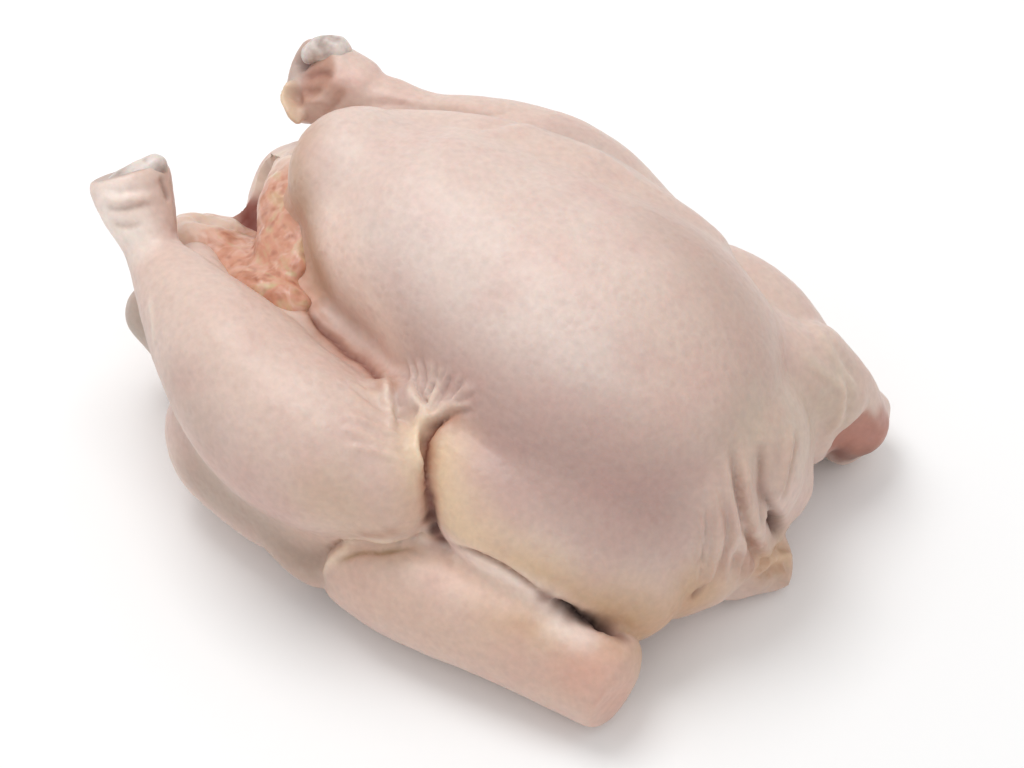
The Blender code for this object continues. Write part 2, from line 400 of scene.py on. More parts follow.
# %% A line on the skin
def hex_linear(code):
    """An sRGB hex colour as linear red, green and blue."""
    parts = [int(code[i:i + 2], 16) / 255 for i in (1, 3, 5)]
    return np.array([c / 12.92 if c <= 0.04045 else ((c + 0.055) / 1.055) ** 2.4 for c in parts])


def dense(places, step=1.5):
    """Places in the maker's frame as close points on one smooth line, in metres."""
    length = sum(math.dist(a, b) for a, b in zip(places, places[1:]))
    count = max(3, round(length / step))
    return np.array([(ring_at(places, i / (count - 1)) - STAND) * MM for i in range(count)])


def on_skin(line):
    """The nearest places on the skin to a line, and the outward direction there."""
    hits = [surface.find_nearest(Vector(p)) for p in line]
    spots = np.array([h[0] for h in hits])
    out = np.array([h[1] for h in hits])
    for _ in range(3):
        out[1:-1] = (out[:-2] + 2 * out[1:-1] + out[2:]) / 4
    return spots, out / np.linalg.norm(out, axis=1, keepdims=True)


def near_line(line, reach):
    """The vertices within reach of a line, with the nearest point of the line to each."""
    low, high = line.min(0) - reach, line.max(0) + reach
    near = np.where(np.all((co > low) & (co < high), axis=1))[0]
    best = np.full(len(near), 1e9)
    place = np.zeros(len(near), dtype=int)
    for j, spot in enumerate(line):
        gap = ((co[near] - spot) ** 2).sum(1)
        closer = gap < best
        best[closer] = gap[closer]
        place[closer] = j
    keep = best < reach ** 2
    return near[keep], place[keep], np.sqrt(best[keep])

# %% [markdown]
# ## Strokes, patches and wrinkles
#
# A stroke is a ridge or a groove. Its height falls off from the line like a bell, and it fades at
# both ends, as folds do. With a fold, the skin drops more on one side than on the other. A patch
# only tints. A fan of wrinkles is a number of fine strokes, each a little different.

# %% Strokes and tints
tone = np.tile(hex_linear("#dfc5b8"), (COUNT, 1))


def stroke(places, width, height, fold=0.0, taper=0.3, tint=None, amount=0.6, spread=1.0):
    """Raise (or with a negative height press in) the skin along a line, in millimetres.

    With a fold, the skin beside the line drops on one side, as under the edge of a flap."""
    line, out = on_skin(dense(places))
    along = np.gradient(line, axis=0)
    along /= np.linalg.norm(along, axis=1, keepdims=True)
    beside = np.cross(along, out)
    near, place, gap = near_line(line, 3 * width * spread * MM)
    far = gap / (width * MM)
    side = ((co[near] - line[place]) * beside[place]).sum(1) / (width * MM)
    share = place / (len(line) - 1)
    ends = smooth_step(np.minimum(share, 1 - share) / taper)
    same = np.clip((facing[near] * out[place]).sum(1) * 2 + 0.4, 0, 1)
    shape = np.exp(-far ** 2)
    if fold:
        shape = shape - abs(fold) * np.exp(-((side * math.copysign(1, fold) + 1.5) / 0.7) ** 2)
    move = height * MM * shape * ends * same
    if tint:
        paint(near, hex_linear(tint), amount * ends * same * np.exp(-(far / spread) ** 2))
    co[near] += out[place] * move[:, None]


def paint(near, colour, share):
    """Mix a colour into the paint of some vertices."""
    share = share[:, None]
    tone[near] = tone[near] * (1 - share) + colour * share


def patch(places, radius, tint, amount=0.7, one_side=True):
    """Tint the skin around a line of places, softly to nothing at the radius."""
    line, out = on_skin(dense(places, 6))
    near, place, gap = near_line(line, radius * MM)
    share = 1 - (gap / (radius * MM)) ** 2
    share = share * share * amount
    if one_side:
        share = share * np.clip((facing[near] * out[place]).sum(1) * 1.5 + 0.4, 0, 1)
    paint(near, hex_linear(tint), share)


def wrinkles(first, second, count, width, height, **more):
    """A fan of fine wrinkles, each from a place on the first line to one on the second."""
    for i in range(count):
        t = (i + rng.uniform(0.2, 0.8)) / count
        a, b = ring_at(first, t), ring_at(second, t)
        middle = a.lerp(b, 0.5) + Vector(rng.uniform(-1.5, 1.5, 3))
        stroke([a, middle, b], width * rng.uniform(0.7, 1.3), height * rng.uniform(0.6, 1.3), **more)

# %% [markdown]
# ## Broad colour of the skin
#
# Raw poultry skin is cream to pale pink. Fat under it makes the wing and the knee straw coloured.
# Much else is painted light and shade: lighter on tops where the light falls, darker and mauve on
# the near flank and on undersides turned away from it. These are wide soft patches, laid first.

# %% Broad patches
# The breast: painted light on its top, painted shade darker and warmer towards the neck end.
patch([(-90, 10, 190), (-20, 13, 194), (40, 20, 188)], 74, "#e2cdc3", 0.7)
patch([(-40, -30, 175), (20, -40, 168), (70, -30, 155)], 50, "#e4d3cb", 0.6)
patch([(60, 60, 165), (110, 40, 140), (140, 10, 115)], 50, "#c3a699", 0.7)
# The near flank, darker mauve: painted shade on the side turned away from the light.
patch([(-30, -66, 132), (30, -66, 138), (84, -58, 132), (118, -44, 118)], 50, "#bd9c93", 0.8)
patch([(60, -76, 120), (100, -64, 104), (128, -44, 90)], 36, "#b89890", 0.4)
# The upper arm, straw coloured with fat.
patch([(26, -88, 108), (60, -100, 92), (92, -98, 78)], 34, "#ebcca8", 0.85)
patch([(88, -96, 60), (118, -70, 50), (140, -40, 48)], 38, "#cda57b", 0.85)
# The near leg: painted light on top, straw at the knee, painted shade on the underside.
patch([(-60, -140, 95), (-40, -146, 80)], 40, "#caa297", 0.6)
patch([(-120, -118, 118), (-70, -135, 110)], 30, "#e2cbc0", 0.5)
patch([(-10, -130, 100), (10, -128, 92)], 34, "#d8b8a0", 0.7)
patch([(-90, -140, 60), (-40, -146, 50)], 34, "#c3ab9c", 0.6)
# The forearm and its cut end.
patch([(-20, -140, 48), (40, -140, 50), (120, -120, 40)], 34, "#dcbaa6", 0.7)
patch([(138, -110, 45), (150, -105, 30)], 30, "#dba893", 0.7)
# The shoulder and the neck.
patch([(140, 20, 110), (150, 60, 90), (146, 90, 80)], 44, "#d2bcaa", 0.8)
patch([(160, 0, 50), (162, 24, 24)], 30, "#c7a388", 0.85)
# Hip, shank and hock, with painted shade on the hip and painted light on the near hock.
patch([(-196, -70, 62), (-180, -92, 60)], 34, "#b09f91", 0.8)
patch([(-176, -84, 118), (-140, -120, 96)], 26, "#cdb4a8", 0.6)
patch([(-199, -83, 156), (-196, -86, 142), (-186, -80, 136)], 24, "#fdeee4", 0.9)
patch([(-150, -120, 100), (-120, -140, 80)], 30, "#c9b0a4", 0.6)
# Painted highlight: pale cream along the lit top edge of the folded wing and of the elbow.
patch([(34, -112, 70), (55, -110, 76), (90, -107, 74), (125, -100, 58)], 17, "#fbe6da", 0.95)
patch([(0, -134, 58), (30, -120, 69), (60, -114, 70)], 13, "#efcfb6", 0.6)
# Painted shade on the thigh's underside and the sides of both legs, painted light on the rear of
# the breast, and a painted highlight on the forearm.
patch([(-95, -142, 55), (-50, -148, 50), (-20, -146, 44)], 26, "#b49c8d", 0.8)
patch([(-91, -37, 156), (-60, -51, 146), (-36, -60, 128)], 32, "#f6dccd", 0.8)
patch([(-107, -139, 115), (-92, -144, 114), (-79, -148, 107)], 28, "#c6ab9e", 0.6)
patch([(-35, 94, 163), (-21, 98, 161), (-3, 96, 163)], 26, "#cdb7ac", 0.7)
patch([(40, -124, 66), (62, -120, 66), (86, -114, 66)], 14, "#f4d8c8", 0.6)
print("mean colour:", tone.mean(0).round(3))

# %% [markdown]
# ## Creases between the limbs
#
# The remesh left a soft valley between leg, wing and breast. The real creases are narrow and
# dark with shade. Each is a stroke pressed in, with a dark tint that is painted shade.

# %% Creases of the near side
LEG_CREASE = [(-98, -52, 116), (-79, -59, 114), (-67, -60, 109), (-55, -63, 108), (-45, -64, 109),
              (-32, -69, 113), (-16, -79, 124)]
KNEE_CREASE = [(24, -76, 129), (20, -83, 126), (20, -87, 123), (20, -91, 120), (24, -96, 117),
               (28, -101, 113), (31, -105, 105), (33, -105, 97), (34, -104, 89), (37, -105, 74)]
ARM_GAP = [(43, -107, 74), (62, -110, 84), (79, -108, 84), (95, -104, 77), (105, -99, 70)]
WING_GAP = [(103, -100, 71), (110, -94, 65), (117, -91, 58), (124, -90, 53), (131, -89, 51),
            (139, -87, 52)]
# Painted shade: brown around the creases, near black deep in the knee and in the gap under the wing.
patch(KNEE_CREASE, 9, "#c08a70", 0.8)
patch(LEG_CREASE, 10, "#b98468", 0.8)
stroke(LEG_CREASE, 2.0, -3.5, taper=0.15, tint="#6e3420", amount=0.9)
stroke(KNEE_CREASE, 1.6, -3, taper=0.1, tint="#6b2c16", amount=0.95)
stroke(KNEE_CREASE[6:], 1.9, -4, taper=0.15, tint="#3a1206", amount=0.97)
patch([(34, -105, 88), (36, -105, 77), (41, -106, 73)], 7, "#3a1206", 0.95)
stroke(ARM_GAP, 1.8, -2.2, tint="#86543a", amount=0.85)
patch(WING_GAP, 8, "#6e3c28", 0.7)
stroke(WING_GAP, 2.7, -5.5, taper=0.2, tint="#200a04", amount=0.98)

# %% [markdown]
# ## The web of skin at the knee
#
# Between knee, breast and wing the skin is drawn up into thin cream folds, like cloth caught on
# a button. A few large folds are placed one by one, and a fan of fine wrinkles joins them to the
# breast.

# %% Folds at the knee
WEB_A = [(-31, -64, 114), (-16, -79, 127), (-9, -86, 126), (0, -95, 125), (7, -106, 125)]
WEB_B = [(-9, -70, 128), (-2, -76, 129), (5, -79, 128), (11, -81, 127), (17, -82, 126)]
WEB_C = [(9, -67, 138), (10, -71, 133), (11, -77, 129), (10, -83, 125), (9, -90, 122)]
WEB_D = [(36, -68, 138), (25, -72, 134), (20, -75, 130), (17, -80, 127), (15, -86, 123)]
WEB_RIM = [(20, -76, 128), (14, -83, 125), (13, -88, 122), (15, -94, 122), (19, -100, 121),
           (24, -103, 118), (29, -106, 112)]
stroke(WEB_A, 2.6, 3.0, fold=0.5, tint="#f1dccb", amount=0.7)
stroke(WEB_B, 2.0, 2.4, fold=0.7, tint="#f3dfca", amount=0.7)
stroke(WEB_C, 2.0, 2.6, fold=-0.7, tint="#f3dfca", amount=0.7)
stroke(WEB_D, 2.2, 3.0, fold=0.7, tint="#f1dcc8", amount=0.7)
stroke(WEB_RIM, 3.0, 4.4, fold=0.5, taper=0.2, tint="#f3d9bd", amount=0.9)
wrinkles([(-18, -60, 132), (6, -58, 144), (34, -62, 146)],
         [(2, -84, 126), (10, -82, 126), (16, -80, 127)],
         10, 1.6, 1.6, fold=0.6, tint="#ecd5c8", amount=0.5)
wrinkles([(-34, -84, 134), (-24, -104, 134), (-10, -122, 118)],
         [(4, -88, 124), (10, -96, 123), (22, -107, 114)],
         8, 2.2, 1.2, fold=0.5, tint="#e3c9b6", amount=0.5)

# %% [markdown]
# ## The elbow
#
# The skin of the leg ends on the folded wing in two parallel ridges, and the skin of the wing is
# tucked under them. The ridge gets a painted highlight, the grooves painted shade, olive with fat.

# %% Ridges at the elbow
ELBOW_RIDGE = [(-11, -142, 39), (-6, -142, 56), (-1, -135, 63), (7, -130, 68), (19, -125, 74),
               (28, -116, 74), (39, -109, 73)]
ELBOW_INNER = [(-3, -141, 55), (2, -137, 59), (8, -132, 64), (18, -128, 69), (25, -121, 68),
               (36, -114, 70)]
ELBOW_UPPER = [(-16, -136, 46), (-11, -134, 54), (-3, -131, 64), (8, -127, 69), (20, -121, 73),
               (30, -112, 74), (37, -108, 72)]
# Painted shade under the lower edge of the leg and in the grooves, a painted highlight on the ridge.
patch([(13, -132, 80), (25, -127, 86)], 8, "#b98f7a", 0.5)
stroke(ELBOW_UPPER, 1.7, -2.0, taper=0.2, tint="#8f5c44", amount=0.75)
stroke(ELBOW_RIDGE, 2.4, 2.0, taper=0.15, tint="#f8e0c8", amount=0.9)
stroke(ELBOW_INNER, 1.5, -1.2, tint="#a8824e", amount=0.7)

# %% [markdown]
# ## The skin of the neck
#
# The skin of the neck is gathered under the front of the breast. Long soft pleats run down to
# the place where it is tucked in, which is a deep hole, painted dark as shade.

# %% Pleats of the neck
NECK_1 = [(140, -6, 129), (152, -16, 108), (159, -18, 92), (162, -14, 69), (161, -4, 33)]
NECK_2 = [(142, 6, 128), (153, -4, 113), (159, -9, 100), (164, -8, 79), (164, 5, 52), (164, 21, 26)]
NECK_3 = [(142, -18, 118), (151, -25, 101), (155, -27, 79), (155, -33, 60), (152, -41, 47)]
NECK_4 = [(150, 13, 119), (158, 5, 109), (162, 0, 99), (166, 1, 87)]
NECK_5 = [(152, 40, 111), (159, 26, 106), (164, 14, 97), (166, 7, 88)]
NECK_NOTCH = [(160, 2, 86), (161, 6, 77), (162, 13, 65), (161, 21, 50), (159, 30, 36)]
NECK_LOW = [(161, 0, 31), (162, 10, 35), (162, 24, 26), (164, 34, 17)]
NECK_FOLD = [(151, -43, 45), (154, -38, 52), (156, -32, 57)]
NECK_BEHIND = [(158, 1, 104), (163, 3, 91), (164, 10, 74)]
NECK_UNDER = [(158, -22, 20), (161, -5, 18), (167, 5, 13), (171, 13, 15), (171, 21, 16)]
NECK_STUMP = [(161, 6, 40), (165, 14, 35), (162, 30, 25)]
stroke(NECK_1, 3.6, 3.8, fold=0.8, tint="#dcc3b4", amount=0.5)
stroke(NECK_2, 3.4, 4.0, fold=-0.8, tint="#dcc0ae", amount=0.5)
stroke(NECK_3, 3.4, 3.0, fold=0.8, tint="#d4b7a4", amount=0.4)
# Painted shade in the groove between the pleats and in the notch where the skin is tucked in.
stroke(NECK_4, 2.8, -2.4, tint="#94705e", amount=0.6)
stroke(NECK_5, 3.2, 3.2, fold=0.8, tint="#d8bfae", amount=0.4)
stroke(NECK_NOTCH, 3.8, -8, taper=0.3, tint="#46200f", amount=0.95)
wrinkles([(144, -29, 107), (151, -14, 114), (158, 3, 103)],
         [(151, -43, 55), (159, -28, 46), (161, -4, 33)],
         8, 2.0, 1.5, fold=0.7, tint="#c9a996", amount=0.3)
stroke(NECK_LOW, 3.2, 4.0, fold=0.5, tint="#e0bb9a", amount=0.7)
patch([(160, -10, 62), (160, -6, 50)], 14, "#bd8f7c", 0.6)
# Painted shade in the grooves beside the pleats.
stroke(NECK_FOLD, 2.4, -2.6, tint="#8a5f46", amount=0.7)
stroke(NECK_BEHIND, 2.0, -2.6, tint="#7d5340", amount=0.7)
stroke(NECK_UNDER, 9, -4.5, taper=0.2)
patch(NECK_STUMP, 14, "#dcb896", 0.7)
wrinkles([(163, 3, 50), (166, 12, 46), (166, 22, 38)], [(168, 4, 26), (170, 12, 22), (170, 20, 20)],
         5, 1.6, 1.5, fold=0.6, tint="#b98a66", amount=0.5)

# %% [markdown]
# ## Shoulder and far leg
#
# On the far side the skin is stretched, so its folds are long, low and nearly parallel.

# %% Long folds of the far side
SHOULDER_1 = [(117, 111, 104), (134, 100, 103), (146, 101, 90), (155, 104, 76)]
SHOULDER_2 = [(126, 86, 112), (138, 87, 101), (147, 93, 89), (152, 95, 79)]
SHOULDER_3 = [(143, 97, 93), (150, 93, 84), (152, 88, 70), (150, 83, 58)]
FAR_CREASE = [(-153, 57, 147), (-128, 69, 152), (-106, 76, 157), (-82, 81, 163), (-66, 95, 163)]
FAR_LINE_2 = [(-86, 44, 176), (-64, 49, 182), (-51, 67, 178), (-46, 96, 163)]
FAR_LINE_3 = [(-25, 86, 171), (-7, 87, 170), (10, 87, 167), (24, 85, 164)]
stroke(SHOULDER_1, 3.4, 1.5, fold=0.5, tint="#e0cdbb", amount=0.5)
stroke(SHOULDER_2, 3.4, 1.5, fold=-0.5, tint="#dcc8b6", amount=0.5)
stroke(SHOULDER_3, 3, 2.0, fold=0.5, tint="#e2c9b8", amount=0.5)
# Painted shade in the crease between the far leg and the breast.
stroke(FAR_CREASE, 3.4, -2.6, tint="#b99b8e", amount=0.6)
stroke(FAR_LINE_2, 3.4, 1.1, fold=0.6, tint="#ead6cc", amount=0.4)
stroke(FAR_LINE_3, 4, 1.4, fold=-0.5, tint="#ead2c6", amount=0.4)

# %% [markdown]
# ## The vent and the cut ends
#
# Where the bird was opened, salmon coloured fat and membrane show, with dark blood in the deep
# end, darkened more as painted shade. At the hocks the shank was cut through the joint, so a face
# of meat shows there, and on it the white cartilage that caps the bone. The faces are painted here
# and roughened, the cartilage and the fat become pieces of their own.

# %% Paint of the vent and the cut ends
VENT_EDGE = [(-231, 0, 55), (-225, 15, 56), (-201, 3, 76)]
VENT_RIM = [(-203, -9, 79), (-201, -2, 76), (-199, 5, 76), (-197, 12, 78)]
VENT_DEPTH = [(-196, 13, 78), (-190, 7, 75), (-184, 2, 73), (-176, -6, 71)]
FAR_LIP = [(-197, 29, 99), (-191, 28, 94), (-186, 25, 82), (-178, 20, 78)]
NEAR_LIP = [(-178, -40, 104), (-160, -32, 90), (-137, -36, 112), (-114, -41, 121), (-96, -49, 118)]
FAR_WALL = [(-216, 6, 70), (-206, 20, 80), (-203, 30, 95), (-196, 36, 108), (-182, 36, 120),
            (-165, 32, 130)]
FAR_RIM = [(-201, 23, 86), (-200, 27, 92), (-198, 30, 98), (-193, 30, 105), (-183, 28, 117)]
FAR_PAD = [(-142, -10, 137), (-136, -18, 134), (-128, -24, 131), (-121, -32, 127), (-115, -35, 125)]
BREAST_END = [(-134, 0, 168), (-126, -14, 160), (-117, -24, 150), (-106, -34, 140), (-94, -41, 131)]
patch(NEAR_LIP, 16, "#d9a085", 0.9)
patch(FAR_LIP, 22, "#b9745c", 0.95)
patch(FAR_PAD, 18, "#cf9f84", 0.9)
# Tan on the rear end of the breast, which turns away from the light: painted shade.
patch(BREAST_END, 26, "#c6a48c", 0.9)
patch(VENT_EDGE, 20, "#dfc0ae", 0.95)
# Dark red in the deep end of the vent: blood, and painted shade of the hollow.
patch(VENT_DEPTH, 16, "#92402c", 0.95)
patch(VENT_DEPTH, 10, "#6b2414", 0.95)
patch(FAR_RIM, 12, "#e2cbb8", 0.95, one_side=False)
for (spot, share), tint in ((FAR_HOCK_FACE, "#be9580"), (FAR_WING_FACE, "#bd8370"),
                            (NEAR_HOCK_FACE, "#b39a8e")):
    paint(spot, hex_linear(tint), share * 0.9)
patch([(-182, 55, 153), (-172, 56, 157), (-163, 56, 155)], 14, "#b68673", 0.8)
patch([(-162, 62, 160), (-158, 66, 158)], 10, "#eccabf", 0.7)
patch([(-193, 69, 161), (-199, 61, 154), (-195, 50, 150)], 13, "#c4b3aa", 0.9, one_side=False)
patch([(163, 121, 41), (156, 108, 42), (150, 100, 40)], 17, "#bb8170", 0.9)
patch([(166, 122, 52), (166, 124, 38), (163, 122, 26)], 11, "#b8806f", 0.8)
# Painted shade along the lower edge of the far wing's cut end, close to the table.
patch([(149, 97, 28), (153, 104, 22), (160, 114, 20)], 13, "#7d4d40", 0.9)

# %% [markdown]
# ## Folds at the hocks
#
# Where the shank was cut off, the skin shrank back in folds and left a pale rim. Small strokes
# make them, and a few dark ones are the gaps between sinews, with painted shade in them. At the
# end the borders of the cut faces are evened out, because a knife doesn't leave an edge of single
# steps.

# %% Folds at the hocks
# The far hock: its pale rim, then the gaps and the hollow between its sinews, as painted shade.
stroke([(-192, 50, 152), (-190, 43, 142), (-182, 40, 139), (-174, 42, 135)], 3.0, 7.5, taper=0.15,
       tint="#eed9b8", amount=0.9)
stroke([(-188, 50, 150), (-184, 46, 144), (-176, 45, 141)], 2, -2.4, tint="#7a4c38", amount=0.8)
stroke([(-197, 56, 151), (-194, 61, 155), (-191, 66, 159)], 4.4, -6, taper=0.4, tint="#4e403b",
       amount=0.95)
stroke([(-188, 52, 150), (-182, 56, 154), (-174, 58, 158), (-164, 58, 158)], 1.8, -2.8,
       tint="#85503e", amount=0.8)
stroke([(-184, 48, 147), (-176, 49, 150), (-168, 52, 153)], 2.0, -2.0, tint="#94604c", amount=0.7)
stroke([(-181, 45, 145), (-172, 45, 147), (-163, 48, 149)], 1.6, 1.8, tint="#c99a88", amount=0.6)
stroke([(-158, 58, 154), (-160, 53, 146), (-166, 46, 138)], 2.2, -1.6, tint="#c59a88", amount=0.5)
# The near hock: rings of shrunk skin, with painted shade in the grooves between them.
stroke([(-206, -86, 153), (-196, -84, 154), (-187, -76, 155), (-181, -62, 150)], 2.8, 1.4, fold=0.4,
       tint="#efdccf", amount=0.6)
stroke([(-203, -87, 149), (-193, -84, 150), (-186, -77, 151), (-182, -68, 149)], 1.8, -1.3,
       tint="#b89a8a", amount=0.5)
stroke([(-196, -89, 142), (-187, -87, 143), (-180, -80, 144)], 1.8, -1.0, tint="#c2a08e", amount=0.5)
stroke([(-188, -58, 158), (-184, -59, 151), (-179, -61, 145)], 2.2, -1.5, tint="#95786b", amount=0.7)
# A tendon under the skin of the drumstick, then the edges of the vent.
stroke([(-152, -107, 133), (-140, -118, 128), (-131, -127, 119)], 1.8, 1.0, tint="#efe0d0", amount=0.7)
stroke(VENT_EDGE, 9, -5.5, taper=0.2)
stroke(VENT_RIM, 8, -5.5, taper=0.25)
stroke(FAR_WALL, 12, -5.0, taper=0.15)
for spot, _ in (FAR_HOCK_FACE, FAR_WING_FACE, NEAR_HOCK_FACE, NEAR_WING_FACE):
    even_out(tone, spot, 4)
    even_out(co, spot, 1)
print("cut ends painted")

# %% [markdown]
# ## Lumps, pimples and the table
#
# Skin over fat is never quite even. Two sizes of noise make it gently lumpy. Where the feathers
# were, each follicle stands up as a pimple, about 6 mm from the next: strong on the breast, weak
# on the wing. The bird is heavy and soft, so its underside lies flat on the table.

# %% Lumps and pimples
PIMPLE = 6.2 * MM
# The paint is taken down a little as a whole, because the room lights the bird from all sides.
PAINT_LEVEL = 0.93
MOST_FACES = 190000


def lump(p):
    """How far the skin stands out at a place, in millimetres."""
    wide = noise.noise(p / (26 * MM)) * 0.75
    small = noise.noise(p / (9 * MM)) * 0.22
    distances, _ = noise.voronoi(p / PIMPLE, distance_metric="DISTANCE")
    pimple = 0.16 * math.exp(-(distances[0] / 0.35) ** 2)
    return wide + small + pimple


co += facing * np.array([lump(Vector(p)) * MM for p in co])[:, None]
co[:, 2] = np.maximum(co[:, 2], 0)
mesh.vertices.foreach_set("co", co.ravel())
mesh.update()
tone *= PAINT_LEVEL
paint_layer = mesh.attributes.new("skin_tone", "FLOAT_COLOR", "POINT")
paint_layer.data.foreach_set("color", np.hstack([tone, np.ones((COUNT, 1))]).ravel())
fewer = turkey.modifiers.new("fewer", "DECIMATE")
fewer.ratio = min(1.0, MOST_FACES / (2 * len(mesh.polygons)))
applied(turkey)
turkey.data.shade_smooth()
print("finished skin:", len(turkey.data.polygons), "faces")

# %% [markdown]
# ## Cartilage and fat as pieces
#
# Cartilage is smooth and pearl white. Fat lies in lumps, with a thin membrane and clots of blood
# on it. Both are masses along a course again, merged by a remesh. Fat gets more and finer lumps.

# %% Cartilage and fat
NEAR_CONDYLES = [(-204, -77, 152, 7, 6), (-203, -70, 154, 7, 5), (-199, -62, 157, 7, 5),
                 (-195, -54, 157, 7, 7)]
FAR_CONDYLES = [(-189, 66, 158, 6, 6), (-184, 71, 160, 8, 8.5), (-178, 75, 160, 8, 8)]
NEAR_FAT = [(-192, -43, 104, 9, 7), (-174, -46, 106, 14, 10), (-156, -44, 100, 24, 12),
            (-134, -49, 108, 20, 11), (-114, -53, 115, 15, 10), (-98, -57, 114, 10, 9)]
LIP_FAT = [(-196, -37, 100, 8, 6), (-188, -32, 98, 11, 7), (-178, -23, 92, 12, 8),
           (-166, -18, 88, 11, 8)]
BELLY_FLAP = [(-182, 26, 104, 7, 5), (-171, 22, 115, 9, 6), (-161, 9, 124, 13, 7),
              (-150, -5, 127, 16, 7), (-139, -19, 125, 17, 7), (-128, -33, 121, 18, 8),
              (-114, -44, 117, 14, 8)]
FLAP_UP = (-0.35, -0.45, 0.82)


def lumpy(name, courses, cell, coarse, fine, smoothing=2):
    """A piece along courses, merged and then roughened by two sizes of noise, in millimetres."""
    bm = bmesh.new()
    for course, up in courses:
        muscle(bm, course, up)
    piece = blend(new_object(name, bm), smoothing / FINER, cell)
    for v in piece.data.vertices:
        rough = noise.noise(v.co / (coarse[0] * MM)) * coarse[1]
        rough += noise.noise(v.co / (fine[0] * MM)) * fine[1]
        v.co += v.normal * rough * MM
    piece = blend(piece, 1 / FINER, cell)
    piece.data.shade_smooth()
    print(name, len(piece.data.polygons), "faces")
    return piece


LEVEL = (0, 0, 1)
near_cartilage = lumpy("near_hock_cartilage", ((NEAR_CONDYLES, LEVEL),), 0.8, (7, 0.5), (3, 0.15))
far_cartilage = lumpy("far_hock_cartilage", ((FAR_CONDYLES, LEVEL),), 0.8, (7, 1.0), (3, 0.3))
vent_fat = lumpy("vent_fat", ((NEAR_FAT, LEVEL), (LIP_FAT, LEVEL), (BELLY_FLAP, FLAP_UP)), 1.0,
                 (15, 2.6), (5, 0.7), 16)

# %% [markdown]
# ## A helper for materials
#
# A node needs its settings, its values and its links. One small function takes all three, so that
# each material below reads as a list of what is laid on what.

# %% Nodes
def add(nodes, kind, settings=None, links=None, **values):
    """Add a node: settings go to its properties, values to its inputs, links join sockets."""
    node = nodes.new(kind)
    for name, value in (settings or {}).items():
        setattr(node, name, value)
    for name, value in values.items():
        node.inputs[name.replace("_", " ")].default_value = value
    for name, socket in (links or {}).items():
        nodes.id_data.links.new(socket, node.inputs[name])
    return node


def material(name):
    """A new material, its nodes and its shader."""
    made = bpy.data.materials.new(name)
    made.use_nodes = True
    nodes = made.node_tree.nodes
    return made, nodes, nodes["Principled BSDF"]


def colour(code):
    """A hex code as a socket wants it: linear, with full alpha."""
    return (*hex_linear(code), 1.0)

# %% [markdown]
# ## The material of raw skin
#
# Poultry skin is a thin moist sheet over fat. Light goes a few millimetres into it and comes out
# warmer, so it needs subsurface scattering. Its gloss is broken up by the pimples. The paint made
# with the strokes gives the broad colour, with painted light and shade. Noise adds the marbling
# of fat and blood vessels.

# %% Raw skin
# The real one: poultry skin, scalded and plucked. To the eye: moist, waxy, faintly translucent,
# with mauve blood showing in patches and a pimple at each follicle.
raw_skin, nodes, shader = material("raw_skin_scalded_and_plucked")
links = raw_skin.node_tree.links
place = add(nodes, "ShaderNodeTexCoord").outputs["Object"]
painted = add(nodes, "ShaderNodeAttribute", {"attribute_name": "skin_tone"}).outputs["Color"]
marbling = add(nodes, "ShaderNodeTexNoise", {}, {"Vector": place}, Scale=1 / (28 * MM), Detail=2.0,
               Roughness=0.5)
cloud = add(nodes, "ShaderNodeMapRange", {}, {"Value": marbling.outputs["Fac"]},
            **{"From_Min": 0.45, "From_Max": 0.8, "To_Min": 0.0, "To_Max": 0.3})
blush = add(nodes, "ShaderNodeMix", {"data_type": "RGBA"}, {"Factor": cloud.outputs["Result"]})
links.new(painted, blush.inputs[6])
blush.inputs[7].default_value = colour("#c99a92")
depth = add(nodes, "ShaderNodeRGBToBW", {}, {"Color": painted})
print("skin material started")
grain = add(nodes, "ShaderNodeTexNoise", {}, {"Vector": place}, Scale=1 / (3.5 * MM), Detail=3.0)
speck = add(nodes, "ShaderNodeMapRange", {}, {"Value": grain.outputs["Fac"]},
            **{"From_Min": 0.35, "From_Max": 0.7, "To_Min": 0.95, "To_Max": 1.03})
grainy = add(nodes, "ShaderNodeMix", {"data_type": "RGBA", "blend_type": "MULTIPLY"})
grainy.inputs[0].default_value = 1.0
links.new(blush.outputs[2], grainy.inputs[6])
links.new(speck.outputs["Result"], grainy.inputs[7])
follicle = add(nodes, "ShaderNodeTexVoronoi", {}, {"Vector": place}, Scale=1 / PIMPLE)
raised = add(nodes, "ShaderNodeMapRange", {"interpolation_type": "SMOOTHSTEP"},
             {"Value": follicle.outputs["Distance"]},
             **{"From_Min": 0.05, "From_Max": 0.6, "To_Min": 1.0, "To_Max": 0.0})
dots = add(nodes, "ShaderNodeMix", {"data_type": "RGBA"})
dot_share = add(nodes, "ShaderNodeMath", {"operation": "MULTIPLY"}, {0: raised.outputs["Result"]})
dot_share.inputs[1].default_value = 0.09
links.new(dot_share.outputs[0], dots.inputs[0])
links.new(grainy.outputs[2], dots.inputs[6])
dots.inputs[7].default_value = colour("#a98784")
links.new(dots.outputs[2], shader.inputs["Base Color"])
pimples = add(nodes, "ShaderNodeBump", {}, {"Height": raised.outputs["Result"]},
              Strength=0.35, Distance=0.0006)
fine = add(nodes, "ShaderNodeBump", {}, {"Height": grain.outputs["Fac"],
                                         "Normal": pimples.outputs["Normal"]},
           Strength=0.3, Distance=0.0006)
links.new(fine.outputs["Normal"], shader.inputs["Normal"])
shader.inputs["IOR"].default_value = 1.42
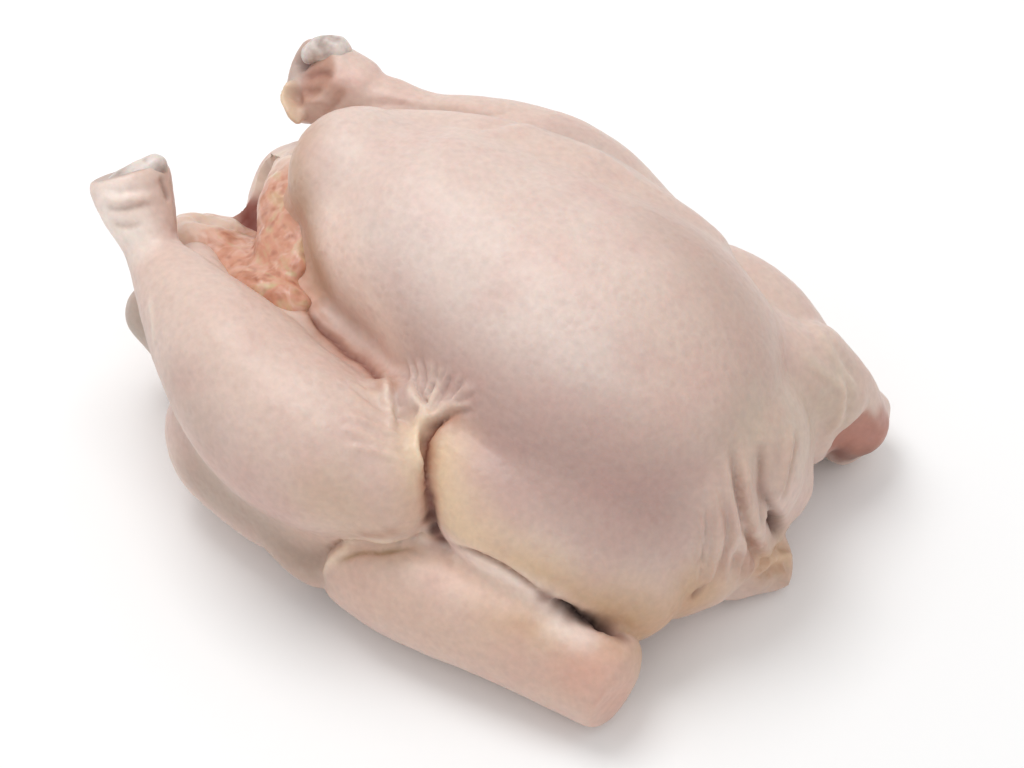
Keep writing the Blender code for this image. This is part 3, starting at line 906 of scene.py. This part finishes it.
# Where the paint is darkest, in painted shade, the skin scatters no light under it and loses its gloss
# and coat, so the painted shade stays dark.
for socket, deep, open_air in (("Subsurface Weight", 0.0, 0.3), ("Roughness", 0.9, 0.46),
                               ("Coat Weight", 0.0, 0.12)):
    by_depth = add(nodes, "ShaderNodeMapRange", {}, {"Value": depth.outputs["Val"]},
                   **{"From_Min": 0.04, "From_Max": 0.3, "To_Min": deep, "To_Max": open_air})
    links.new(by_depth.outputs["Result"], shader.inputs[socket])
shader.inputs["Subsurface Radius"].default_value = (1.0, 0.4, 0.25)
shader.inputs["Subsurface Scale"].default_value = 0.0025
shader.inputs["Coat Roughness"].default_value = 0.25
turkey.data.materials.clear()
turkey.data.materials.append(raw_skin)
print("skin nodes:", len(nodes))

# %% [markdown]
# ## The material of cartilage
#
# Cartilage is smooth, wet and slightly see-through, so light goes into it a little. A soft noise
# makes it bluish white where it is thick and brownish where it dried.

# %% Cartilage
# The real one: cartilage with the bone under it, cut with a knife. To the eye: pearl white,
# glossy, bluish where it is thick and brown where blood dried in the hollows.
pearl, nodes, shader = material("cartilage_cut_and_wet")
place = add(nodes, "ShaderNodeTexCoord").outputs["Object"]
blotch = add(nodes, "ShaderNodeTexNoise", {}, {"Vector": place}, Scale=1 / (10 * MM), Detail=3.0)
ramp = add(nodes, "ShaderNodeValToRGB", {}, {"Fac": blotch.outputs["Fac"]})
ramp.color_ramp.elements[0].position = 0.35
ramp.color_ramp.elements[0].color = colour("#ab9b93")
ramp.color_ramp.elements[1].position = 0.6
ramp.color_ramp.elements[1].color = colour("#d8ccc5")
pearl.node_tree.links.new(ramp.outputs["Color"], shader.inputs["Base Color"])
shader.inputs["Roughness"].default_value = 0.3
shader.inputs["IOR"].default_value = 1.4
shader.inputs["Subsurface Weight"].default_value = 0.4
shader.inputs["Subsurface Scale"].default_value = 0.002
for piece in (near_cartilage, far_cartilage):
    piece.data.materials.append(pearl)

# %% [markdown]
# ## The material of fat and membrane
#
# Fat could be one orange colour, but it would look like clay. Its real look comes from layers:
# islands of yellow fat, paler threads of membrane, brown pits of clotted blood. At the far end of
# the flap and at the near end it fades into the colour of skin, because skin covers it there.

# %% Fat and membrane
# The real one: fat and membrane at the cut, wet with blood. To the eye: salmon, with yellow
# islands of fat, pink threads and brown pits, and small sharp highlights.
salmon, nodes, shader = material("fat_and_membrane_wet")
links = salmon.node_tree.links
place = add(nodes, "ShaderNodeTexCoord").outputs["Object"]
islands = add(nodes, "ShaderNodeTexNoise", {}, {"Vector": place}, Scale=1 / (16 * MM), Detail=2.0,
              Distortion=1.2)
ramp = add(nodes, "ShaderNodeValToRGB", {}, {"Fac": islands.outputs["Fac"]})
ramp.color_ramp.elements[0].position = 0.3
ramp.color_ramp.elements[0].color = colour("#b87d62")
ramp.color_ramp.elements[1].position = 0.68
ramp.color_ramp.elements[1].color = colour("#c8b089")
middle = ramp.color_ramp.elements.new(0.5)
middle.color = colour("#cf9880")
wander = add(nodes, "ShaderNodeTexNoise", {}, {"Vector": place}, Scale=1 / (12 * MM))
bent = add(nodes, "ShaderNodeVectorMath", {"operation": "MULTIPLY_ADD"})
bent.inputs[1].default_value = (0.012, 0.012, 0.012)
links.new(wander.outputs["Color"], bent.inputs[0])
links.new(place, bent.inputs[2])
pits = add(nodes, "ShaderNodeTexVoronoi", {}, {"Vector": bent.outputs["Vector"]}, Scale=1 / (8 * MM))
pit = add(nodes, "ShaderNodeMapRange", {}, {"Value": pits.outputs["Distance"]},
          **{"From_Min": 0.05, "From_Max": 0.4, "To_Min": 0.55, "To_Max": 0.0})
threads = add(nodes, "ShaderNodeTexNoise", {}, {"Vector": place}, Scale=1 / (12 * MM), Detail=2.0,
              Distortion=1.5)
thread = add(nodes, "ShaderNodeMapRange", {}, {"Value": threads.outputs["Fac"]},
             **{"From_Min": 0.48, "From_Max": 0.75, "To_Min": 0.0, "To_Max": 0.55})
veined = add(nodes, "ShaderNodeMix", {"data_type": "RGBA"}, {"Factor": thread.outputs["Result"]})
links.new(ramp.outputs["Color"], veined.inputs[6])
veined.inputs[7].default_value = colour("#e4c3b2")
clots = add(nodes, "ShaderNodeMix", {"data_type": "RGBA"})
links.new(pit.outputs["Result"], clots.inputs[0])
links.new(veined.outputs[2], clots.inputs[6])
clots.inputs[7].default_value = colour("#96523c")
across = add(nodes, "ShaderNodeSeparateXYZ", {}, {"Vector": place})
far_end = add(nodes, "ShaderNodeMapRange", {"interpolation_type": "SMOOTHSTEP"},
              {"Value": across.outputs["Y"]},
              **{"From_Min": -0.010, "From_Max": 0.016, "To_Min": 0.0, "To_Max": 0.9})
near_end = add(nodes, "ShaderNodeMapRange", {"interpolation_type": "SMOOTHSTEP"},
               {"Value": across.outputs["X"]},
               **{"From_Min": -0.148, "From_Max": -0.132, "To_Min": 0.85, "To_Max": 0.0})
ends = add(nodes, "ShaderNodeMath", {"operation": "MAXIMUM"}, {0: far_end.outputs["Result"]})
links.new(near_end.outputs["Result"], ends.inputs[1])
fading = add(nodes, "ShaderNodeMix", {"data_type": "RGBA"}, {"Factor": ends.outputs["Value"]})
links.new(clots.outputs[2], fading.inputs[6])
fading.inputs[7].default_value = colour("#dcc3b2")
links.new(fading.outputs[2], shader.inputs["Base Color"])
lumps = add(nodes, "ShaderNodeBump", {}, {"Height": pits.outputs["Distance"]},
            Strength=0.5, Distance=0.001)
links.new(lumps.outputs["Normal"], shader.inputs["Normal"])
shader.inputs["Roughness"].default_value = 0.32
shader.inputs["IOR"].default_value = 1.45
shader.inputs["Subsurface Weight"].default_value = 0.3
shader.inputs["Subsurface Radius"].default_value = (1.0, 0.35, 0.15)
shader.inputs["Subsurface Scale"].default_value = 0.003
vent_fat.data.materials.append(salmon)
print("fat nodes:", len(nodes))

# %% [markdown]
# ## The camera
#
# A long lens looks down on the bird from its near side and a little from the neck end. It stands
# one and a half metres away, so the near leg doesn't grow large against the far one.

# %% Camera
camera = bpy.data.objects.new("camera", bpy.data.cameras.new("camera"))
bpy.context.scene.collection.objects.link(camera)
LOOK_AT = Vector((27, 6, 57.5)) * MM
AZIMUTH = math.radians(38)
ELEVATION = math.radians(47)
DISTANCE = 1.5
back = Vector((math.sin(AZIMUTH) * math.cos(ELEVATION), -math.cos(AZIMUTH) * math.cos(ELEVATION),
               math.sin(ELEVATION)))
camera.location = LOOK_AT + back * DISTANCE
camera.rotation_euler = back.to_track_quat("Z", "Y").to_euler()
camera.data.sensor_width = 36
camera.data.lens = 98
camera.data.clip_start = 0.05
bpy.context.scene.camera = camera
print("camera at", [round(c, 3) for c in camera.location])

# %% [markdown]
# ## Floor and light
#
# The floor is a large pale sheet. The room is a bright white world, which fills the shadows, and
# the one window is a large square lamp above the bird. Its size makes the shadow's edge soft.

# %% Floor and light
bm = bmesh.new()
bmesh.ops.create_grid(bm, x_segments=2, y_segments=2, size=3.0)
floor = new_object("floor", bm)
paper, nodes, shader = material("white_paper_sweep")
shader.inputs["Base Color"].default_value = colour("#fafafa")
shader.inputs["Roughness"].default_value = 0.9
floor.data.materials.append(paper)
room = bpy.data.worlds.new("room")
room.use_nodes = True
room.node_tree.nodes["Background"].inputs["Color"].default_value = (1, 1, 1, 1)
room.node_tree.nodes["Background"].inputs["Strength"].default_value = 0.76
bpy.context.scene.world = room
bpy.context.scene.view_settings.view_transform = "Standard"


def window(name, place, size, power):
    """A square area light that faces the bird."""
    light = bpy.data.lights.new(name, "AREA")
    light.shape = "SQUARE"
    light.size = size
    light.energy = power
    lamp = bpy.data.objects.new(name, light)
    bpy.context.scene.collection.objects.link(lamp)
    lamp.location = place
    lamp.rotation_euler = (Vector(place) - LOOK_AT).to_track_quat("Z", "Y").to_euler()


window("window_left", (-0.45, 0.05, 1.5), 0.8, 10)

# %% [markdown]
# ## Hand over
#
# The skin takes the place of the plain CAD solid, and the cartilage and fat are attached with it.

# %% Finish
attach(turkey, "root")
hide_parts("turkey")
for piece, slot in ((near_cartilage, "cartilage"), (far_cartilage, "cartilage"), (vent_fat, "fat")):
    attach(piece, "root")
